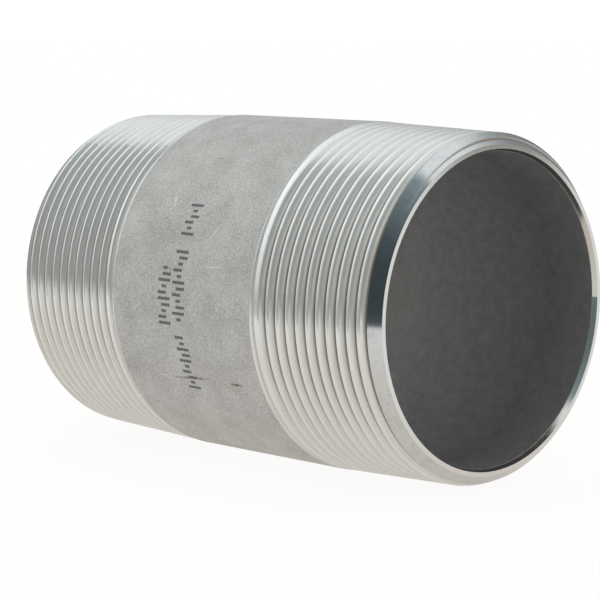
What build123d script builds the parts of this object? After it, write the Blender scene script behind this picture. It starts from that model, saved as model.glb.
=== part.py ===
from build123d import *
from math import atan, cos, degrees, radians, sin, tan
import os

# A pipe nipple: a short length of pipe with a taper pipe thread on both ends, and a printed code.
# The pipe's axis is X, the origin is at its middle, and +Z is up as it lies on its side.
# Lengths are in millimetres and angles in degrees. A depth is measured inwards from an end face.

# Pipe
inch = 25.4
pipe_od = 60.325
pipe_wall = 3.912
nipple_length = 88.9

# Taper pipe thread, right-handed. Its ridges are rounded and wider than its grooves' bottoms. They
# lie on a turned cone that stops just short of the barrel's surface.
threads_per_inch = 11.5
turned_length = 27.35
radius_taper = 1 / 32
root_radius_at_face = 27.87
crest_radius_at_face = 29.25
root_flat = 0.084
flank_angle = 30.0
crest_rounding = 0.34
stretch_turns = (4, 4, 5)
runout_turns = 0.5
runout_clearance = 0.05

# The thread tool: its shoulders round the ridges off and leave the crest at this small angle
shoulder_angle = 10.0
shoulder_run = 0.1
tool_reach = 1.72

# The groove's helix starts at the bottom of the pipe, this far outside the end face. The far end
# has the same thread, turned about the pipe's axis by this angle.
lead_in = 2.577
far_end_turn = -148.0

# End finish
chamfer_radius_at_face = 27.42
bevel_depth = 1.0
bevel_width = 0.42

# The blank is made this much too long at each end, so that the groove starts in solid metal and
# is then faced off with the end. The facing cut passes the blank by a little.
spare = 4.0
facing = spare + 1.0

# Printed code: two rows of ink bars that run round the barrel, on the -Y side
ink_thickness = 0.02
bar_width = 0.5
bar_step = 2.0
short_bar = 1.1
long_bar = 3.0

outer_radius = pipe_od / 2
bore_radius = outer_radius - pipe_wall
half_length = nipple_length / 2
pitch = inch / threads_per_inch
crest_radius_at_barrel = crest_radius_at_face + turned_length * radius_taper


def root_radius(depth):
    """Radius of the cone on which the bottom of the groove lies."""
    return root_radius_at_face + depth * radius_taper


def helix_stretch(start_depth, turns, start_radius, end_radius):
    """Right-handed conical helix that runs inwards from the +X end for a number of turns."""
    depth = turns * pitch
    cone = degrees(atan((end_radius - start_radius) / depth))
    with BuildLine() as path:
        Helix(
            pitch=pitch / cos(radians(cone)),
            height=depth,
            radius=start_radius,
            center=(half_length - start_depth, 0, 0),
            direction=(-1, 0, 0),
            cone_angle=cone,
        )
    return path.edges()[0]


def groove_paths():
    """The groove as a chain of helices of whole turns, then a last one that climbs out of the metal."""
    paths = []
    depth = -lead_in
    for turns in stretch_turns:
        end_depth = depth + turns * pitch
        paths.append(helix_stretch(depth, turns, root_radius(depth), root_radius(end_depth)))
        depth = end_depth
    clear_radius = crest_radius_at_barrel + runout_clearance
    paths.append(helix_stretch(depth, runout_turns, root_radius(depth), clear_radius))
    return paths


def cutter_section(path, heading):
    """Sketch of the thread tool at the start of a path and square to a heading.

    It is a V with a narrow flat at its tip and rounded shoulders. In the sketch, X is the height
    above the groove's bottom and Y runs along the pipe.
    """
    start = path @ 0
    plane = Plane(origin=start, x_dir=(0, start.Y, start.Z), z_dir=heading)
    crest_height = crest_radius_at_face - root_radius_at_face
    half_tip = root_flat / 2
    flank = radians(flank_angle)
    shoulder = radians(shoulder_angle)
    # The ridge's rounding is an arc that touches the flank and the crest
    arc_x = crest_height - crest_rounding
    arc_y = half_tip + crest_height * tan(flank) + crest_rounding * tan((radians(90) - flank) / 2)
    foot = (arc_x + crest_rounding * sin(flank), arc_y - crest_rounding * cos(flank))
    top = (arc_x + crest_rounding * cos(shoulder), arc_y - crest_rounding * sin(shoulder))
    middle_angle = (radians(90) - flank + shoulder) / 2
    middle = (arc_x + crest_rounding * cos(middle_angle), arc_y - crest_rounding * sin(middle_angle))
    lip = (top[0] + shoulder_run * sin(shoulder), top[1] + shoulder_run * cos(shoulder))
    with BuildSketch(plane) as section:
        with BuildLine():
            for side in (-1, 1):
                Line((0, 0), (0, side * half_tip))
                Line((0, side * half_tip), (foot[0], side * foot[1]))
                ThreePointArc(
                    (foot[0], side * foot[1]),
                    (middle[0], side * middle[1]),
                    (top[0], side * top[1]),
                )
                Line((top[0], side * top[1]), (lip[0], side * lip[1]))
                Line((lip[0], side * lip[1]), (tool_reach, side * lip[1]))
                Line((tool_reach, side * lip[1]), (tool_reach, 0))
        make_face()
    return section.sketch


# One half of the pipe, threaded at its +X end
with BuildPart() as threaded_half:
    with BuildSketch(Plane.XY):
        with BuildLine():
            Polyline(
                (0, bore_radius),
                (half_length + spare, bore_radius),
                (half_length + spare, crest_radius_at_face - spare * radius_taper),
                (half_length - turned_length, crest_radius_at_barrel),
                (half_length - turned_length, outer_radius),
                (0, outer_radius),
                close=True,
            )
        make_face()
    revolve(axis=Axis.X)
    # Each stretch of groove starts square to the end of the one before, so that they meet exactly
    paths = groove_paths()
    headings = [paths[0] % 0] + [path % 1 for path in paths[:-1]]
    for path, heading in zip(paths, headings):
        sweep(sections=cutter_section(path, heading), path=path, is_frenet=True, mode=Mode.SUBTRACT)
    # Facing cut: inner bevel, flat end face, then a 45 degree chamfer through the thread. The
    # bevel's line runs on into the bore, as far past its corner as that is from the face.
    with BuildSketch(Plane.XY):
        with BuildLine():
            Polyline(
                (half_length - 2 * bevel_depth, bore_radius - bevel_width),
                (half_length, bore_radius + bevel_width),
                (half_length, chamfer_radius_at_face),
                (half_length - facing, chamfer_radius_at_face + facing),
                (half_length + facing, chamfer_radius_at_face + facing),
                (half_length + facing, bore_radius - bevel_width),
                close=True,
            )
        make_face()
    revolve(axis=Axis.X, mode=Mode.SUBTRACT)

# The whole nipple: the same threaded half at each end of one piece of pipe
with BuildPart() as nipple_body:
    add(threaded_half.part)
    add(threaded_half.part.rotate(Axis.Z, 180).rotate(Axis.X, far_end_turn))

# Printed code. Each letter is a bar: f is full height, a is the upper part, d is the lower part
# and t is the short middle. A space is a gap. Bars follow one another round the barrel.
bar_spans = {
    "f": (-long_bar / 2, long_bar / 2),
    "a": (-short_bar / 2, long_bar / 2),
    "d": (-long_bar / 2, short_bar / 2),
    "t": (-short_bar / 2, short_bar / 2),
}
# Each row: its place along the pipe, the angle of its first bar from +Y, and its bars
bar_rows = (
    (-0.3, 147.0, "ftadtf  fatdtfadtaft  dtfaftdatf"),
    (-3.9, 168.6, "taftdfatdf"),
)

with BuildPart() as ink_code:
    for row_place, first_angle, bars in bar_rows:
        for number, bar in enumerate(bars):
            if bar == " ":
                continue
            low, high = bar_spans[bar]
            angle = first_angle + number * bar_step
            with BuildSketch(Plane.XY.rotated((angle, 0, 0))):
                with Locations((row_place + (low + high) / 2, outer_radius + ink_thickness / 2)):
                    Rectangle(high - low, ink_thickness)
            revolve(axis=Axis.X, revolution_arc=degrees(bar_width / outer_radius))

pieces = {"nipple_body": nipple_body, "ink_code": ink_code}
os.makedirs("parts", exist_ok=True)
for name, piece in pieces.items():
    piece.part.label = name
    export_step(piece.part, f"parts/{name}.step")
    print(name, len(piece.part.solids()), "solids", round(piece.part.volume, 2), "mm3")
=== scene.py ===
import bpy
import math
from mathutils import Matrix, Vector


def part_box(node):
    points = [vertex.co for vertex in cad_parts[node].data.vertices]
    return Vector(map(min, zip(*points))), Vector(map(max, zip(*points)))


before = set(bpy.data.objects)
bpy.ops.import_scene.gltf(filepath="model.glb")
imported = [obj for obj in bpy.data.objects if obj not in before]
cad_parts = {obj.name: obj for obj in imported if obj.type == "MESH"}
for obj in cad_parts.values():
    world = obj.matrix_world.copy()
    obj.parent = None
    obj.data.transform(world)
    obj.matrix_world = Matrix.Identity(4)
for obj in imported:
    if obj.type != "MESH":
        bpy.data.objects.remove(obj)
bpy.ops.object.select_all(action="DESELECT")
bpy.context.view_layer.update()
bodyLow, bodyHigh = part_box("nipple_body")
print("frame loaded:", sorted(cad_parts))

# Sizes inside the materials are in millimetres, measured from the pipe's middle and its axis.
toMillimetres = 1000.0
pipe = {
    "halfLength": bodyHigh[0] * toMillimetres,
    "outerRadius": bodyHigh[2] * toMillimetres,
    "boreRadius": 26.2505,
    "turnedLength": 27.35,       # from each end face to the plain barrel
    "crestRadius": 29.25,        # at the end face; the cone grows by the taper inwards
    "rootRadius": 27.87,
    "taper": 1 / 32,
    "chamferRadius": 27.42,      # where the 45 degree chamfer meets the end face
    "faceInnerRadius": 26.67,    # where the inner bevel meets the end face
}


def newMaterial(name):
    material = bpy.data.materials.new(name)
    material.use_nodes = True
    return material, Tree(material.node_tree)


class Tree:
    # Adds and links nodes. A socket that is given a number or colour keeps it, one that is given
    # another node's socket is linked.

    def __init__(self, nodeTree):
        self.tree = nodeTree
        self.count = 0

    def add(self, kind, ins=None, outs=0, **settings):
        node = self.tree.nodes.new(kind)
        node.location = (200 * (self.count % 8), -220 * (self.count // 8))
        self.count += 1
        for key, value in settings.items():
            setattr(node, key, value)
        for key, value in (ins or {}).items():
            self.feed(node.inputs[key], value)
        return None if outs is None else node.outputs[outs]

    def feed(self, socket, value):
        if isinstance(value, bpy.types.NodeSocket):
            self.tree.links.new(value, socket)
        else:
            socket.default_value = value

    def math(self, operation, first, second=0.0, third=0.0):
        return self.add("ShaderNodeMath", {0: first, 1: second, 2: third}, operation=operation)

    def vector(self, operation, first, second=(0, 0, 0)):
        out = "Value" if operation in ("LENGTH", "DOT_PRODUCT", "DISTANCE") else "Vector"
        return self.add("ShaderNodeVectorMath", {0: first, 1: second}, out, operation=operation)

    def scale(self, vector, by):
        return self.add("ShaderNodeVectorMath", {0: vector, "Scale": by}, operation="SCALE")

    def ramp(self, value, low, high, start=0.0, end=1.0):
        # Smooth step from start at low to end at high
        ins = {"Value": value, "From Min": low, "From Max": high, "To Min": start, "To Max": end}
        return self.add("ShaderNodeMapRange", ins, interpolation_type="SMOOTHSTEP", clamp=True)

    def line(self, value, low, high, start=0.0, end=1.0):
        ins = {"Value": value, "From Min": low, "From Max": high, "To Min": start, "To Max": end}
        return self.add("ShaderNodeMapRange", ins, interpolation_type="LINEAR", clamp=True)

    def noise(self, place, scale, detail, roughness):
        ins = {"Vector": place, "Scale": scale, "Detail": detail, "Roughness": roughness}
        return self.add("ShaderNodeTexNoise", ins)

    def stretch(self, place, scale):
        return self.vector("MULTIPLY", place, scale)

    def mixColor(self, factor, first, second):
        node = self.tree.nodes.new("ShaderNodeMix")
        node.data_type = "RGBA"
        node.location = (200 * (self.count % 8), -220 * (self.count // 8))
        self.count += 1
        self.feed(node.inputs[0], factor)
        self.feed(node.inputs[6], first)
        self.feed(node.inputs[7], second)
        return node.outputs[2]

    def mixValue(self, factor, first, second):
        node = self.tree.nodes.new("ShaderNodeMix")
        node.data_type = "FLOAT"
        node.location = (200 * (self.count % 8), -220 * (self.count // 8))
        self.count += 1
        self.feed(node.inputs[0], factor)
        self.feed(node.inputs[2], first)
        self.feed(node.inputs[3], second)
        return node.outputs[0]


def newGroup(name, inputs, outputs):
    group = bpy.data.node_groups.new(name, "ShaderNodeTree")
    for label, kind in inputs:
        group.interface.new_socket(name=label, in_out="INPUT", socket_type=kind)
    for label, kind in outputs:
        group.interface.new_socket(name=label, in_out="OUTPUT", socket_type=kind)
    start = group.nodes.new("NodeGroupInput")
    end = group.nodes.new("NodeGroupOutput")
    return group, Tree(group), start.outputs, end.inputs


def useGroup(t, group, ins=None):
    node = t.tree.nodes.new("ShaderNodeGroup")
    node.node_tree = group
    for key, value in (ins or {}).items():
        t.feed(node.inputs[key], value)
    return node.outputs


viewPoint = {
    "yaw": 44.74,            # degrees from the pipe's axis, round towards -Y
    "pitch": 7.22,
    "distance": 0.40805,
    "across": 0.000985,      # how far the view's centre lies from the pipe's middle
    "above": 0.002132,
    "lens": 137.75,
}


def placeCamera():
    yaw = math.radians(viewPoint["yaw"])
    pitch = math.radians(viewPoint["pitch"])
    back = Vector((math.cos(yaw) * math.cos(pitch), -math.sin(yaw) * math.cos(pitch), math.sin(pitch)))
    right = Vector((math.sin(yaw), math.cos(yaw), 0))
    up = back.cross(right)
    place = back * viewPoint["distance"] - right * viewPoint["across"] - up * viewPoint["above"]
    bpy.ops.object.camera_add()
    camera = bpy.context.object
    camera.data.lens = viewPoint["lens"]
    camera.data.clip_start = 0.01
    camera.matrix_world = Matrix((
        (right.x, up.x, back.x, place.x),
        (right.y, up.y, back.y, place.y),
        (right.z, up.z, back.z, place.z),
        (0, 0, 0, 1),
    ))
    camera.select_set(False)
    bpy.context.scene.camera = camera


studio = {
    "floorSize": 8.0,
    "tableGlow": 0.93,              # share of the table's light that shadows don't touch
    "mirroredGlow": 0.78,           # the same, as reflections see the table
    "tableLight": 1.08,
    "tableFront": -0.177,           # where reflections see the white table end, along Y
    "tableBack": 0.84,              # and how far it goes on elsewhere
    "edgeBlur": 0.010,
    "nearReach": 0.03,              # the painted shadow near the pipe gives way to the far tint between these distances
    "farReach": 0.16,
    "paper": (0.93, 0.925, 0.92, 1),
    "nearTableShadow": (0.80, 0.74, 0.68, 1),      # painted shadow: the table under the pipe, darker and warmer, as reflections see it
    "farTable": (0.88, 0.875, 0.855, 1),
    "sky": (1.02, 1.07, 1.08, 1),
    "horizon": (0.56, 0.575, 0.555, 1),
    "skirt": (0.29, 0.29, 0.255, 1),         # a dark band where the tent meets the table
    "skirtFull": -0.03,
    "skirtTop": 0.10,
    "cameraSide": (-42.0, 10.0),    # azimuth from +X and elevation of the dark room behind the camera
    "cameraSideEdge": (0.42, 0.55),          # as dot products with that direction: where it begins,
    "cameraSideFade": (0.55, 0.98),          # and from where to where its colour deepens
    "cameraSideCore": (0.050, 0.068, 0.076, 1),
    "cameraSideRim": (0.29, 0.37, 0.40, 1),
    "windowSide": (-160.0, 44.0),
    "windowBoost": 0.25,
    "windowSpread": (0.70, 1.0),
    "backSide": (90.0, 12.0),
    "backShade": 0.36,
    "backSpread": (0.60, 0.97),
    "skyHeight": 0.68,
    "ambient": 1.1,
    "ambientSpan": (-0.3, 0.7),
    "backdrop": 1.1,
    "ambientTop": (0.96, 1.0, 1.02, 1),
    "ambientLow": (1.0, 0.98, 0.95, 1),
}


def direction(azimuthElevation):
    azimuth, elevation = (math.radians(v) for v in azimuthElevation)
    flat = math.cos(elevation)
    return (flat * math.cos(azimuth), flat * math.sin(azimuth), math.sin(elevation))


def makeFloor():
    # A white table. Reflections see it end in front, and see the room beyond through it.
    bpy.ops.mesh.primitive_plane_add(size=studio["floorSize"], location=(0, 0, bodyLow[2]))
    floor = bpy.context.object
    floor.name = "floor"
    material, t = newMaterial("tablePaper")
    t.tree.nodes.clear()
    path = t.tree.nodes.new("ShaderNodeLightPath")
    place = t.add("ShaderNodeTexCoord", outs="Object")
    away = t.vector("LENGTH", place)
    along = t.add("ShaderNodeSeparateXYZ", {0: place}, outs="Y")
    blur = studio["edgeBlur"]
    front = t.ramp(along, studio["tableFront"] - blur, studio["tableFront"] + blur, 1.0, 0.0)
    back = t.ramp(away, studio["tableBack"] - blur, studio["tableBack"] + blur)
    beyond = t.math("MAXIMUM", front, back)

    def paperShader(color, strength, share):
        matt = t.add("ShaderNodeBsdfDiffuse", {"Color": color})
        glow = t.add("ShaderNodeEmission", {"Color": color, "Strength": strength})
        return t.add("ShaderNodeMixShader", {0: share, 1: matt, 2: glow})

    seen = paperShader(studio["paper"], studio["tableLight"], studio["tableGlow"])
    # Painted shadow: reflections see the table darker and warmer close to the pipe
    tint = t.ramp(away, studio["nearReach"], studio["farReach"])
    tint = t.mixColor(tint, studio["nearTableShadow"], studio["farTable"])
    clear = t.add("ShaderNodeBsdfTransparent")
    table = paperShader(tint, 1.0, studio["mirroredGlow"])
    mirrored = t.add("ShaderNodeMixShader", {0: beyond, 1: table, 2: clear})
    both = t.add("ShaderNodeMixShader", {0: path.outputs["Is Glossy Ray"], 1: seen, 2: mirrored})
    t.add("ShaderNodeOutputMaterial", {"Surface": both}, outs=None)
    floor.data.materials.append(material)
    floor.select_set(False)


def makeWorld():
    # A white light tent. Reflections see it by direction: bright overhead and on the window side,
    # dimmer near the horizon and at the back, dark where the camera looks in.
    world = bpy.data.worlds.new("lightTent")
    world.use_nodes = True
    bpy.context.scene.world = world
    t = Tree(world.node_tree)
    t.tree.nodes.clear()
    path = t.tree.nodes.new("ShaderNodeLightPath")
    ray = t.vector("NORMALIZE", t.add("ShaderNodeTexCoord", outs="Generated"))
    height = t.add("ShaderNodeSeparateXYZ", {0: ray}, outs="Z")

    def towards(side):
        return t.vector("DOT_PRODUCT", ray, direction(studio[side]))

    tent = t.mixColor(t.line(height, 0.0, studio["skyHeight"]), studio["horizon"], studio["sky"])
    tent = t.mixColor(t.ramp(height, studio["skirtFull"], studio["skirtTop"]), studio["skirt"], tent)
    window = t.ramp(towards("windowSide"), *studio["windowSpread"], 1.0, 1.0 + studio["windowBoost"])
    backs = t.ramp(towards("backSide"), *studio["backSpread"], 1.0, studio["backShade"])
    tent = t.scale(tent, t.math("MULTIPLY", window, backs))
    lens = towards("cameraSide")
    fade = t.line(lens, *studio["cameraSideFade"])
    room = t.mixColor(fade, studio["cameraSideRim"], studio["cameraSideCore"])
    mirrored = t.mixColor(t.ramp(lens, *studio["cameraSideEdge"]), tent, room)
    glossy = t.add("ShaderNodeBackground", {"Color": mirrored, "Strength": 1.0})
    rise = t.line(height, *studio["ambientSpan"])
    ambient = t.mixColor(rise, studio["ambientLow"], studio["ambientTop"])
    soft = t.add("ShaderNodeBackground", {"Color": ambient, "Strength": studio["ambient"]})
    white = t.add("ShaderNodeBackground", {"Color": (1, 1, 1, 1), "Strength": studio["backdrop"]})
    lit = t.add("ShaderNodeMixShader", {0: path.outputs["Is Glossy Ray"], 1: soft, 2: glossy})
    both = t.add("ShaderNodeMixShader", {0: path.outputs["Is Camera Ray"], 1: lit, 2: white})
    t.add("ShaderNodeOutputWorld", {"Surface": both}, outs=None)


placeCamera()
makeFloor()
makeWorld()
bpy.context.scene.view_settings.view_transform = "Standard"
print("camera, floor and light tent made")


steelLook = {
    "threadColor": (0.77, 0.765, 0.735, 1),
    "crestColor": (0.80, 0.81, 0.80, 1),
    # painted shade: the thread's grooves are darkened brown towards their bottoms
    "grooveShade": (0.33, 0.285, 0.235, 1),
    "rootFull": 0.35,            # mm above the groove's bottom up to which the painted shade is full
    "rootReach": 0.72,           # and where it ends
    "streakColor": (0.52, 0.495, 0.45, 1),
    "streakShare": 0.25,
    "threadSpeckle": 0.88,       # how dark the thread's darkest specks are
    "threadMetal": 0.62,
    "threadRough": (0.10, 0.19),
    "lineScale": (5.0, 0.12, 0.12),      # noise cells per mm along X, Y and Z
    "threadLines": 0.036,        # height of the die's fine lines, in mm
    "chamferColor": (0.63, 0.64, 0.64, 1),
    "chamferDull": (0.55, 0.565, 0.57, 1),
    "chamferRough": (0.06, 0.16),
    "chamferLines": 0.0015,
    "ringScale": 9.0,            # the same for rings on the faces, outwards and round
    "ringSmear": 0.12,
    "wearScale": 0.5,
    "faceColor": (0.72, 0.72, 0.71, 1),
    "bevelColor": (0.62, 0.61, 0.585, 1),
}
barrelLook = {
    "dark": (0.325, 0.317, 0.298, 1),
    "light": (0.56, 0.552, 0.53, 1),
    "fleck": (0.66, 0.66, 0.64, 1),
    "fleckShare": 0.6,
    "metal": 0.4,
    "rough": (0.72, 0.58),
    "grainHeight": 0.035,
}
boreLook = {
    "endShade": 0.35,            # painted shade: the bore's colour is darkened towards the ends, where light comes in at the openings, and lifted a little in the middle as painted light
    "endDepth": 10.0,
    "middleDepth": 42.0,
    "middleShade": 1.1,
    "dark": (0.345, 0.345, 0.34, 1),
    "light": (0.44, 0.438, 0.43, 1),
    "metal": 0.25,
    "rough": 0.85,
    "grainHeight": 0.03,
}
inkLook = {
    "dark": (0.055, 0.06, 0.065, 1),
    "light": (0.14, 0.145, 0.15, 1),
    "dotStep": 0.56,             # mm between the print head's dots
    "rough": 0.55,
    "grainHeight": 0.03,
}

# Small marks on the pipe. Each runs from start to end: a place along the pipe in mm, and an angle
# about it in degrees, from +Y over the top. Widths are in mm too.
lightSteel = (0.80, 0.80, 0.78, 1)
rust = (0.13, 0.07, 0.05, 1)
# dark tint for soot specks, and for the painted shade of a dent
soot = (0.16, 0.155, 0.15, 1)
# warm tint for a stain on the barrel, and for a patch of painted light in the bore
warmStain = (0.47, 0.43, 0.375, 1)
marks = {
    "scratch": {
        "start": (7.3, 152.4), "end": (5.2, 160.0), "width": 0.22,
        "tint": lightSteel, "strength": 0.85,
    },
    "smear": {
        "start": (-6.9, 142.8), "end": (-5.6, 149.6), "width": 0.6,
        "tint": lightSteel, "strength": 0.55,
    },
    "nick": {
        "start": (-10.7, 140.2), "end": (-10.2, 144.2), "width": 0.3,
        "tint": lightSteel, "strength": 0.6,
    },
    # painted shade: a dent near the top, drawn as a dark mark
    "topDentShade": {
        "start": (-3.2, 127.6), "end": (-0.4, 128.3), "width": 0.4,
        "tint": soot, "strength": 0.7,
    },
    "drawLine": {
        "start": (2.4, 168.1), "end": (10.6, 166.9), "width": 0.2,
        "tint": lightSteel, "strength": 0.5,
    },
    "rustLine": {
        "start": (-7.0, 206.8), "end": (6.5, 204.8), "width": 0.75,
        "tint": rust, "strength": 0.7,
    },
    "rustDash": {
        "start": (8.8, 205.7), "end": (12.9, 205.5), "width": 0.8,
        "tint": rust, "strength": 0.9,
    },
    "speckHigh": {
        "start": (11.0, 172.0), "end": (11.4, 172.6), "width": 0.45,
        "tint": soot, "strength": 0.8,
    },
    "speckLow": {
        "start": (-12.5, 205.9), "end": (-12.1, 206.4), "width": 0.45,
        "tint": soot, "strength": 0.8,
    },
    "stain": {
        "start": (-17.5, 249.8), "end": (14.6, 240.1), "width": 5.0,
        "tint": warmStain, "strength": 0.4,
    },
    "threadSpeck": {
        "start": (-21.9, 190.4), "end": (-21.5, 191.6), "width": 0.6,
        "tint": rust, "strength": 0.7,
    },
    "backScratch": {
        "start": (-9.0, 38.0), "end": (2.0, 31.0), "width": 0.25,
        "tint": lightSteel, "strength": 0.6,
    },
    "backRust": {
        "start": (-2.0, -22.0), "end": (9.0, -20.0), "width": 0.3,
        "tint": rust, "strength": 0.5,
    },
    # painted light: a warm, lighter patch on the bore's wall where light falls in
    "borePaintedLight": {
        "start": (-20.0, -6.0), "end": (8.0, -10.0), "width": 22.0,
        "tint": warmStain, "strength": 0.3, "radius": pipe["boreRadius"],
    },
}
markDepth = 2.0                  # mm that a mark reaches into and out of the surface
markEdgeNoise = 2.4              # how ragged the marks' edges are


def makeGrainGroup():
    # Pickled skin of the pipe: fine pits and grains, for the steel and for the ink on top of it
    group, t, ins, outs = newGroup(
        "pickledGrain",
        [("Place", "NodeSocketVector")],
        [("Height", "NodeSocketFloat"), ("Tone", "NodeSocketFloat"), ("Flecks", "NodeSocketFloat")],
    )
    place = ins["Place"]
    fine = t.noise(place, 4.2, 4.0, 0.72)
    coarse = t.noise(place, 0.2, 3.0, 0.5)
    t.feed(outs["Height"], fine)
    t.feed(outs["Tone"], t.math("MULTIPLY_ADD", t.math("SUBTRACT", coarse, 0.5), 0.22, fine))
    sparks = t.noise(t.stretch(place, (1.0, 1.3, 1.3)), 1.3, 4.0, 0.7)
    t.feed(outs["Flecks"], t.ramp(sparks, 0.66, 0.74))
    return group


def makeMarkGroup():
    # One mark as an ellipsoid with ragged edges. Along, Across and Out are its directions, each
    # divided by the mark's half size that way.
    group, t, ins, outs = newGroup(
        "surfaceMark",
        [("Place", "NodeSocketVector"), ("Middle", "NodeSocketVector"), ("Along", "NodeSocketVector"),
         ("Across", "NodeSocketVector"), ("Out", "NodeSocketVector")],
        [("Mask", "NodeSocketFloat")],
    )
    offset = t.vector("SUBTRACT", ins["Place"], ins["Middle"])
    span = t.vector("LENGTH", t.add("ShaderNodeCombineXYZ", {
        axis: t.vector("DOT_PRODUCT", offset, ins[way])
        for axis, way in (("X", "Along"), ("Y", "Across"), ("Z", "Out"))
    }))
    ragged = t.math("SUBTRACT", t.noise(ins["Place"], 2.6, 4.0, 0.75), 0.42)
    edge = t.math("MULTIPLY_ADD", ragged, markEdgeNoise, span)
    t.feed(outs["Mask"], t.ramp(edge, 0.45, 1.0, 1.0, 0.0))
    return group


grainGroup = makeGrainGroup()
markGroup = makeMarkGroup()


def paintMarks(t, place, color):
    for mark in marks.values():
        markRadius = mark.get("radius", pipe["outerRadius"])

        def spot(end):
            angle = math.radians(mark[end][1])
            return Vector((mark[end][0], markRadius * math.cos(angle), markRadius * math.sin(angle)))

        middle = (spot("start") + spot("end")) / 2
        along = (spot("end") - spot("start")) / 2
        out = Vector((0, middle.y, middle.z)).normalized()
        across = out.cross(along).normalized()
        mask = useGroup(t, markGroup, {
            "Place": place,
            "Middle": tuple(middle),
            "Along": tuple(along / along.length_squared),
            "Across": tuple(across * 2 / mark["width"]),
            "Out": tuple(out / markDepth),
        })["Mask"]
        color = t.mixColor(t.math("MULTIPLY", mask, mark["strength"]), color, mark["tint"])
    return color


def millimetrePlace(t):
    return t.scale(t.add("ShaderNodeTexCoord", outs="Object"), toMillimetres)


def addBump(t, shader, height):
    bump = t.add("ShaderNodeBump", {"Strength": 1.0, "Distance": 1 / toMillimetres, "Height": height},
                 outs="Normal")
    t.feed(shader.inputs["Normal"], bump)


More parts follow.
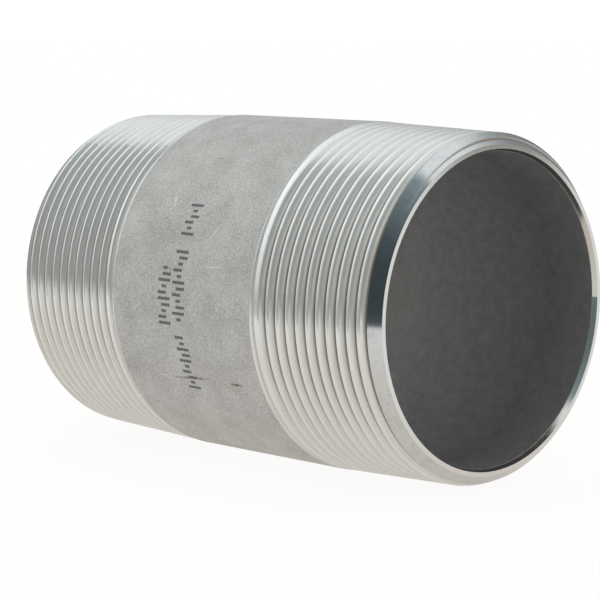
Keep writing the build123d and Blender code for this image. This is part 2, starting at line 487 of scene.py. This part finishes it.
def makeSteel():
    material, t = newMaterial("pipeSteel")
    shader = t.tree.nodes["Principled BSDF"]
    place = millimetrePlace(t)
    parts = t.add("ShaderNodeSeparateXYZ", {0: place}).node.outputs
    axial = t.math("ABSOLUTE", parts["X"])
    depth = t.math("SUBTRACT", pipe["halfLength"], axial)
    radius = t.vector("LENGTH", t.stretch(place, (0, 1, 1)))
    rise = t.math("MULTIPLY_ADD", depth, -pipe["taper"], radius)    # radius with the taper taken out
    onBarrel = t.ramp(depth, pipe["turnedLength"] - 0.03, pipe["turnedLength"] + 0.03)
    inBore = t.ramp(radius, pipe["boreRadius"] + 0.03, pipe["boreRadius"] + 0.07, 1.0, 0.0)
    chamferGap = t.math("SUBTRACT", t.math("SUBTRACT", radius, depth), pipe["chamferRadius"])
    chamferGap = t.math("ABSOLUTE", chamferGap)
    onChamfer = t.ramp(chamferGap, 0.05, 0.09, 1.0, 0.0)
    onFace = t.ramp(depth, 0.008, 0.02, 1.0, 0.0)
    insideEdge = t.ramp(radius, pipe["faceInnerRadius"] + 0.02, pipe["faceInnerRadius"] + 0.05, 1.0, 0.0)
    crest = t.ramp(rise, pipe["crestRadius"] - 0.2, pipe["crestRadius"] - 0.02)
    # Painted shade in the grooves, full near their bottoms and gone higher up
    rootRise = t.math("SUBTRACT", rise, pipe["rootRadius"])
    root = t.ramp(rootRise, steelLook["rootFull"], steelLook["rootReach"], 1.0, 0.0)

    grain = useGroup(t, grainGroup, {"Place": place})
    # Lines that run round the pipe, left by the threading die and the facing tool
    streaks = t.noise(t.stretch(place, steelLook["lineScale"]), 1.0, 4.0, 0.6)
    ringPlace = t.add("ShaderNodeCombineXYZ", {
        "X": t.math("MULTIPLY", radius, steelLook["ringScale"]),
        "Y": t.math("MULTIPLY", parts["Y"], steelLook["ringSmear"]),
        "Z": t.math("MULTIPLY", parts["Z"], steelLook["ringSmear"]),
    })
    rings = t.noise(ringPlace, 1.0, 3.0, 0.6)
    wear = t.noise(place, steelLook["wearScale"], 6.0, 0.68)

    thread = t.mixColor(crest, steelLook["threadColor"], steelLook["crestColor"])
    thread = t.mixColor(root, thread, steelLook["grooveShade"])
    thread = t.scale(thread, t.line(grain["Tone"], 0.3, 0.7, steelLook["threadSpeckle"], 1.0))
    streakShare = t.ramp(streaks, 0.35, 0.75, 0.0, steelLook["streakShare"])
    thread = t.mixColor(streakShare, thread, steelLook["streakColor"])
    barrel = t.mixColor(t.ramp(grain["Tone"], 0.34, 0.66), barrelLook["dark"], barrelLook["light"])
    fleckShare = t.math("MULTIPLY", grain["Flecks"], barrelLook["fleckShare"])
    barrel = t.mixColor(fleckShare, barrel, barrelLook["fleck"])
    bore = t.mixColor(t.ramp(wear, 0.3, 0.72), boreLook["dark"], boreLook["light"])
    # Painted shade at the bore's ends and painted light in its middle
    boreShade = (boreLook["endShade"], boreLook["middleShade"])
    bore = t.scale(bore, t.line(depth, boreLook["endDepth"], boreLook["middleDepth"], *boreShade))
    chamfer = t.mixColor(t.ramp(wear, 0.45, 0.7), steelLook["chamferColor"], steelLook["chamferDull"])
    color = t.mixColor(onChamfer, thread, chamfer)
    color = t.mixColor(onBarrel, color, barrel)
    color = t.mixColor(insideEdge, color, steelLook["bevelColor"])
    color = t.mixColor(onFace, color, steelLook["faceColor"])
    color = t.mixColor(inBore, color, bore)
    t.feed(shader.inputs["Base Color"], paintMarks(t, place, color))

    threadRough = t.line(streaks, 0.3, 0.7, *steelLook["threadRough"])
    chamferRough = t.line(rings, 0.3, 0.7, *steelLook["chamferRough"])
    barrelRough = t.line(grain["Tone"], 0.3, 0.7, *barrelLook["rough"])
    cut = t.math("MAXIMUM", onChamfer, t.math("MAXIMUM", onFace, insideEdge))
    rough = t.mixValue(cut, threadRough, chamferRough)
    rough = t.mixValue(onBarrel, rough, barrelRough)
    t.feed(shader.inputs["Roughness"], t.mixValue(inBore, rough, boreLook["rough"]))
    metal = t.mixValue(cut, steelLook["threadMetal"], 1.0)
    metal = t.mixValue(onBarrel, metal, barrelLook["metal"])
    t.feed(shader.inputs["Metallic"], t.mixValue(inBore, metal, boreLook["metal"]))

    threadHeight = t.math("MULTIPLY", streaks, steelLook["threadLines"])
    cutHeight = t.math("MULTIPLY", rings, steelLook["chamferLines"])
    height = t.mixValue(cut, threadHeight, cutHeight)
    height = t.mixValue(onBarrel, height, t.math("MULTIPLY", grain["Height"], barrelLook["grainHeight"]))
    height = t.mixValue(inBore, height, t.math("MULTIPLY", grain["Height"], boreLook["grainHeight"]))
    addBump(t, shader, height)
    return material


def makeInk():
    # Ink-jet print: each bar is a row of dots that run into one another
    material, t = newMaterial("codeInk")
    shader = t.tree.nodes["Principled BSDF"]
    place = millimetrePlace(t)
    axial = t.add("ShaderNodeSeparateXYZ", {0: place}, outs="X")
    grain = useGroup(t, grainGroup, {"Place": place})
    dots = t.math("SINE", t.math("MULTIPLY", axial, math.tau / inkLook["dotStep"]))
    thin = t.math("MAXIMUM", t.ramp(dots, 0.2, -0.9), t.ramp(grain["Tone"], 0.45, 0.75))
    t.feed(shader.inputs["Base Color"], t.mixColor(thin, inkLook["dark"], inkLook["light"]))
    shader.inputs["Roughness"].default_value = inkLook["rough"]
    addBump(t, shader, t.math("MULTIPLY", grain["Height"], inkLook["grainHeight"]))
    return material


def finishNode(name, material):
    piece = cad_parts[name]
    for slot in piece.material_slots:
        slot.material = material


finishNode("nipple_body", makeSteel())
finishNode("ink_code", makeInk())
print("finishes made")
